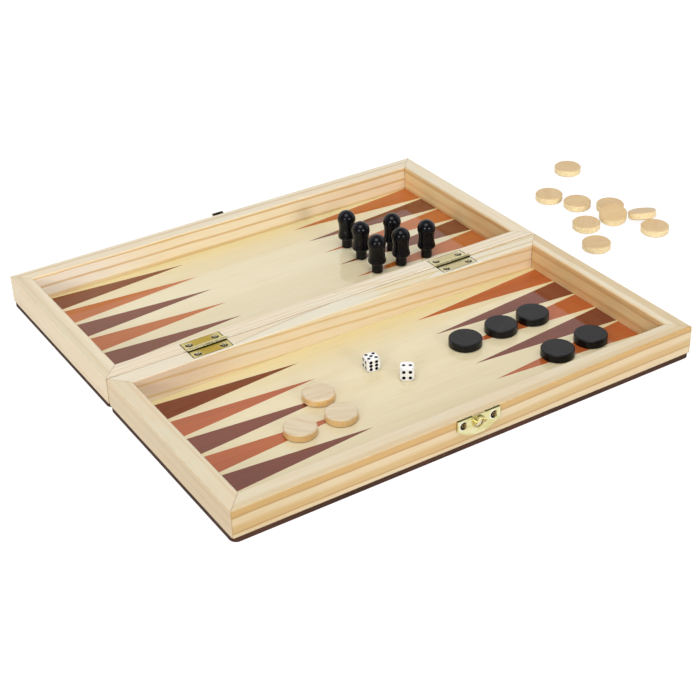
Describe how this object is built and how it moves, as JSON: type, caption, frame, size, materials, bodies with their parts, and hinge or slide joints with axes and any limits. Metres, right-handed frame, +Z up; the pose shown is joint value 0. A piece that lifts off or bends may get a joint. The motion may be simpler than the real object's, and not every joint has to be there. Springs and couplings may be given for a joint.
{
  "type": "games compendium box",
  "caption": "Folding wooden games box lying open, with inlaid backgammon points inside, a chequerboard underneath, a hasp and catch, and draughts, pawns and dice laid out.",
  "frame": {"origin": "on the table at the middle of the seam between the two trays", "axes": "+X along the hinge line towards the draughts on the table, +Y towards the rear tray with the hasp, +Z up"},
  "size_m": [0.3992, 0.286, 0.0282],
  "materials": {
    "front_outer_rail": "clear satin lacquer over straight-grained softwood, darker golden bands along the rail",
    "front_hinge_rail": "clear satin lacquer over straight-grained softwood, darker golden bands along the rail",
    "front_left_rail": "clear satin lacquer over straight-grained softwood, darker golden bands along the rail",
    "front_right_rail": "clear satin lacquer over straight-grained softwood, darker golden bands along the rail",
    "front_panel": "clear lacquered thin plywood with pale face and a dark stained edge",
    "front_points_brown": "red-brown stained veneer under clear lacquer",
    "front_points_orange": "orange-brown veneer under clear lacquer",
    "front_chess_squares": "red-brown stained veneer under clear lacquer",
    "left_hinge_front_leaf": "thin brass-plated sheet and wire with a greenish tone, darker in the corners",
    "left_hinge_pin": "thin brass-plated sheet and wire with a greenish tone, darker in the corners",
    "right_hinge_front_leaf": "thin brass-plated sheet and wire with a greenish tone, darker in the corners",
    "right_hinge_pin": "thin brass-plated sheet and wire with a greenish tone, darker in the corners",
    "hinge_screws_front": "thin brass-plated sheet and wire with a greenish tone, darker in the corners",
    "catch_plate": "thin brass-plated sheet and wire with a greenish tone, darker in the corners",
    "catch_screws": "thin brass-plated sheet and wire with a greenish tone, darker in the corners",
    "rear_outer_rail": "clear satin lacquer over straight-grained softwood, darker golden bands along the rail",
    "rear_hinge_rail": "clear satin lacquer over straight-grained softwood, darker golden bands along the rail",
    "rear_left_rail": "clear satin lacquer over straight-grained softwood, darker golden bands along the rail",
    "rear_right_rail": "clear satin lacquer over straight-grained softwood, darker golden bands along the rail",
    "rear_panel": "clear lacquered thin plywood with pale face and a dark stained edge",
    "rear_points_brown": "red-brown stained veneer under clear lacquer",
    "rear_points_orange": "orange-brown veneer under clear lacquer",
    "rear_chess_squares": "red-brown stained veneer under clear lacquer",
    "left_hinge_rear_leaf": "thin brass-plated sheet and wire with a greenish tone, darker in the corners",
    "right_hinge_rear_leaf": "thin brass-plated sheet and wire with a greenish tone, darker in the corners",
    "hinge_screws_rear": "thin brass-plated sheet and wire with a greenish tone, darker in the corners",
    "hasp_plate": "thin brass-plated sheet and wire with a greenish tone, darker in the corners",
    "hasp_pin": "thin brass-plated sheet and wire with a greenish tone, darker in the corners",
    "hasp_screws": "thin brass-plated sheet and wire with a greenish tone, darker in the corners",
    "hasp_flap": "thin brass-plated sheet and wire with a greenish tone, darker in the corners",
    "black_draught_1": "turned wood, black stained with a satin varnish",
    "black_draught_2": "turned wood, black stained with a satin varnish",
    "black_draught_3": "turned wood, black stained with a satin varnish",
    "black_draught_4": "turned wood, black stained with a satin varnish",
    "black_draught_5": "turned wood, black stained with a satin varnish",
    "pale_draught_1": "turned pale wood with a thin satin varnish",
    "pale_draught_2": "turned pale wood with a thin satin varnish",
    "pale_draught_3": "turned pale wood with a thin satin varnish",
    "black_pawn_1": "turned wood under a thick black gloss varnish",
    "black_pawn_2": "turned wood under a thick black gloss varnish",
    "black_pawn_3": "turned wood under a thick black gloss varnish",
    "black_pawn_4": "turned wood under a thick black gloss varnish",
    "black_pawn_5": "turned wood under a thick black gloss varnish",
    "black_pawn_6": "turned wood under a thick black gloss varnish",
    "die_1": "moulded white with a soft gloss",
    "die_1_pips": "black paint sunk in the pip",
    "die_2": "moulded white with a soft gloss",
    "die_2_pips": "black paint sunk in the pip",
    "loose_draught_1": "turned pale wood with a thin satin varnish",
    "loose_draught_2": "turned pale wood with a thin satin varnish",
    "loose_draught_3": "turned pale wood with a thin satin varnish",
    "loose_draught_4": "turned pale wood with a thin satin varnish",
    "loose_draught_5": "turned pale wood with a thin satin varnish",
    "loose_draught_6": "turned pale wood with a thin satin varnish",
    "loose_draught_7": "turned pale wood with a thin satin varnish",
    "loose_draught_8": "turned pale wood with a thin satin varnish",
    "loose_draught_9": "turned pale wood with a thin satin varnish"
  },
  "bodies": {
    "front_half": {"front_outer_rail": "front_outer_rail", "front_hinge_rail": "front_hinge_rail", "front_left_rail": "front_left_rail", "front_right_rail": "front_right_rail", "front_panel": "front_panel", "front_points_brown": "front_points_brown", "front_points_orange": "front_points_orange", "front_chess_squares": "front_chess_squares", "left_hinge_front_leaf": "left_hinge_front_leaf", "left_hinge_pin": "left_hinge_pin", "right_hinge_front_leaf": "right_hinge_front_leaf", "right_hinge_pin": "right_hinge_pin", "hinge_screws_front": "hinge_screws_front", "catch_plate": "catch_plate", "catch_screws": "catch_screws"},
    "rear_half": {"rear_outer_rail": "rear_outer_rail", "rear_hinge_rail": "rear_hinge_rail", "rear_left_rail": "rear_left_rail", "rear_right_rail": "rear_right_rail", "rear_panel": "rear_panel", "rear_points_brown": "rear_points_brown", "rear_points_orange": "rear_points_orange", "rear_chess_squares": "rear_chess_squares", "left_hinge_rear_leaf": "left_hinge_rear_leaf", "right_hinge_rear_leaf": "right_hinge_rear_leaf", "hinge_screws_rear": "hinge_screws_rear", "hasp_plate": "hasp_plate", "hasp_pin": "hasp_pin", "hasp_screws": "hasp_screws"},
    "hasp": {"hasp_flap": "hasp_flap"},
    "black_draught_1": {"black_draught_1": "black_draught_1"},
    "black_draught_2": {"black_draught_2": "black_draught_2"},
    "black_draught_3": {"black_draught_3": "black_draught_3"},
    "black_draught_4": {"black_draught_4": "black_draught_4"},
    "black_draught_5": {"black_draught_5": "black_draught_5"},
    "pale_draught_1": {"pale_draught_1": "pale_draught_1"},
    "pale_draught_2": {"pale_draught_2": "pale_draught_2"},
    "pale_draught_3": {"pale_draught_3": "pale_draught_3"},
    "black_pawn_1": {"black_pawn_1": "black_pawn_1"},
    "black_pawn_2": {"black_pawn_2": "black_pawn_2"},
    "black_pawn_3": {"black_pawn_3": "black_pawn_3"},
    "black_pawn_4": {"black_pawn_4": "black_pawn_4"},
    "black_pawn_5": {"black_pawn_5": "black_pawn_5"},
    "black_pawn_6": {"black_pawn_6": "black_pawn_6"},
    "die_1": {"die_1": "die_1", "die_1_pips": "die_1_pips"},
    "die_2": {"die_2": "die_2", "die_2_pips": "die_2_pips"},
    "loose_draught_1": {"loose_draught_1": "loose_draught_1"},
    "loose_draught_2": {"loose_draught_2": "loose_draught_2"},
    "loose_draught_3": {"loose_draught_3": "loose_draught_3"},
    "loose_draught_4": {"loose_draught_4": "loose_draught_4"},
    "loose_draught_5": {"loose_draught_5": "loose_draught_5"},
    "loose_draught_6": {"loose_draught_6": "loose_draught_6"},
    "loose_draught_7": {"loose_draught_7": "loose_draught_7"},
    "loose_draught_8": {"loose_draught_8": "loose_draught_8"},
    "loose_draught_9": {"loose_draught_9": "loose_draught_9"}
  },
  "joints": [
    {"name": "fold", "type": "hinge", "parent": "front_half", "child": "rear_half", "pos_m": [0, 0, 0.01935], "axis": [-1, 0, 0], "range_deg": [-180, 0]},
    {"name": "hasp_swing", "type": "hinge", "parent": "rear_half", "child": "hasp", "pos_m": [-0.0022, 0.1415, 0.0179], "axis": [-1, 0, 0], "range_deg": [-180, 0]},
    {"name": "black_draught_1_lift", "type": "slide", "parent": "front_half", "child": "black_draught_1", "axis": [0, 0, 1], "range_m": [0, 0.05]},
    {"name": "black_draught_2_lift", "type": "slide", "parent": "front_half", "child": "black_draught_2", "axis": [0, 0, 1], "range_m": [0, 0.05]},
    {"name": "black_draught_3_lift", "type": "slide", "parent": "front_half", "child": "black_draught_3", "axis": [0, 0, 1], "range_m": [0, 0.05]},
    {"name": "black_draught_4_lift", "type": "slide", "parent": "front_half", "child": "black_draught_4", "axis": [0, 0, 1], "range_m": [0, 0.05]},
    {"name": "black_draught_5_lift", "type": "slide", "parent": "front_half", "child": "black_draught_5", "axis": [0, 0, 1], "range_m": [0, 0.05]},
    {"name": "pale_draught_1_lift", "type": "slide", "parent": "front_half", "child": "pale_draught_1", "axis": [0, 0, 1], "range_m": [0, 0.05]},
    {"name": "pale_draught_2_lift", "type": "slide", "parent": "front_half", "child": "pale_draught_2", "axis": [0, 0, 1], "range_m": [0, 0.05]},
    {"name": "pale_draught_3_lift", "type": "slide", "parent": "front_half", "child": "pale_draught_3", "axis": [0, 0, 1], "range_m": [0, 0.05]},
    {"name": "black_pawn_1_lift", "type": "slide", "parent": "rear_half", "child": "black_pawn_1", "axis": [0, 0, 1], "range_m": [0, 0.05]},
    {"name": "black_pawn_2_lift", "type": "slide", "parent": "rear_half", "child": "black_pawn_2", "axis": [0, 0, 1], "range_m": [0, 0.05]},
    {"name": "black_pawn_3_lift", "type": "slide", "parent": "rear_half", "child": "black_pawn_3", "axis": [0, 0, 1], "range_m": [0, 0.05]},
    {"name": "black_pawn_4_lift", "type": "slide", "parent": "rear_half", "child": "black_pawn_4", "axis": [0, 0, 1], "range_m": [0, 0.05]},
    {"name": "black_pawn_5_lift", "type": "slide", "parent": "rear_half", "child": "black_pawn_5", "axis": [0, 0, 1], "range_m": [0, 0.05]},
    {"name": "black_pawn_6_lift", "type": "slide", "parent": "rear_half", "child": "black_pawn_6", "axis": [0, 0, 1], "range_m": [0, 0.05]},
    {"name": "die_1_lift", "type": "slide", "parent": "front_half", "child": "die_1", "axis": [0, 0, 1], "range_m": [0, 0.05]},
    {"name": "die_2_lift", "type": "slide", "parent": "front_half", "child": "die_2", "axis": [0, 0, 1], "range_m": [0, 0.05]},
    {"name": "loose_draught_1_lift", "type": "slide", "parent": "front_half", "child": "loose_draught_1", "axis": [0, 0, 1], "range_m": [0, 0.05]},
    {"name": "loose_draught_2_lift", "type": "slide", "parent": "front_half", "child": "loose_draught_2", "axis": [0, 0, 1], "range_m": [0, 0.05]},
    {"name": "loose_draught_3_lift", "type": "slide", "parent": "front_half", "child": "loose_draught_3", "axis": [0, 0, 1], "range_m": [0, 0.05]},
    {"name": "loose_draught_4_slide", "type": "slide", "parent": "front_half", "child": "loose_draught_4", "axis": [0.5733, 0.8194, 0], "range_m": [0, 0.03]},
    {"name": "loose_draught_5_lift", "type": "slide", "parent": "front_half", "child": "loose_draught_5", "axis": [0, 0, 1], "range_m": [0, 0.05]},
    {"name": "loose_draught_6_lift", "type": "slide", "parent": "front_half", "child": "loose_draught_6", "axis": [0, 0, 1], "range_m": [0, 0.05]},
    {"name": "loose_draught_7_lift", "type": "slide", "parent": "front_half", "child": "loose_draught_7", "axis": [0, 0, 1], "range_m": [0, 0.05]},
    {"name": "loose_draught_8_slide", "type": "slide", "parent": "front_half", "child": "loose_draught_8", "axis": [-0.2421, -0.9703, 0], "range_m": [0, 0.03]},
    {"name": "loose_draught_9_lift", "type": "slide", "parent": "front_half", "child": "loose_draught_9", "axis": [0, 0, 1], "range_m": [0, 0.05]}
  ]
}
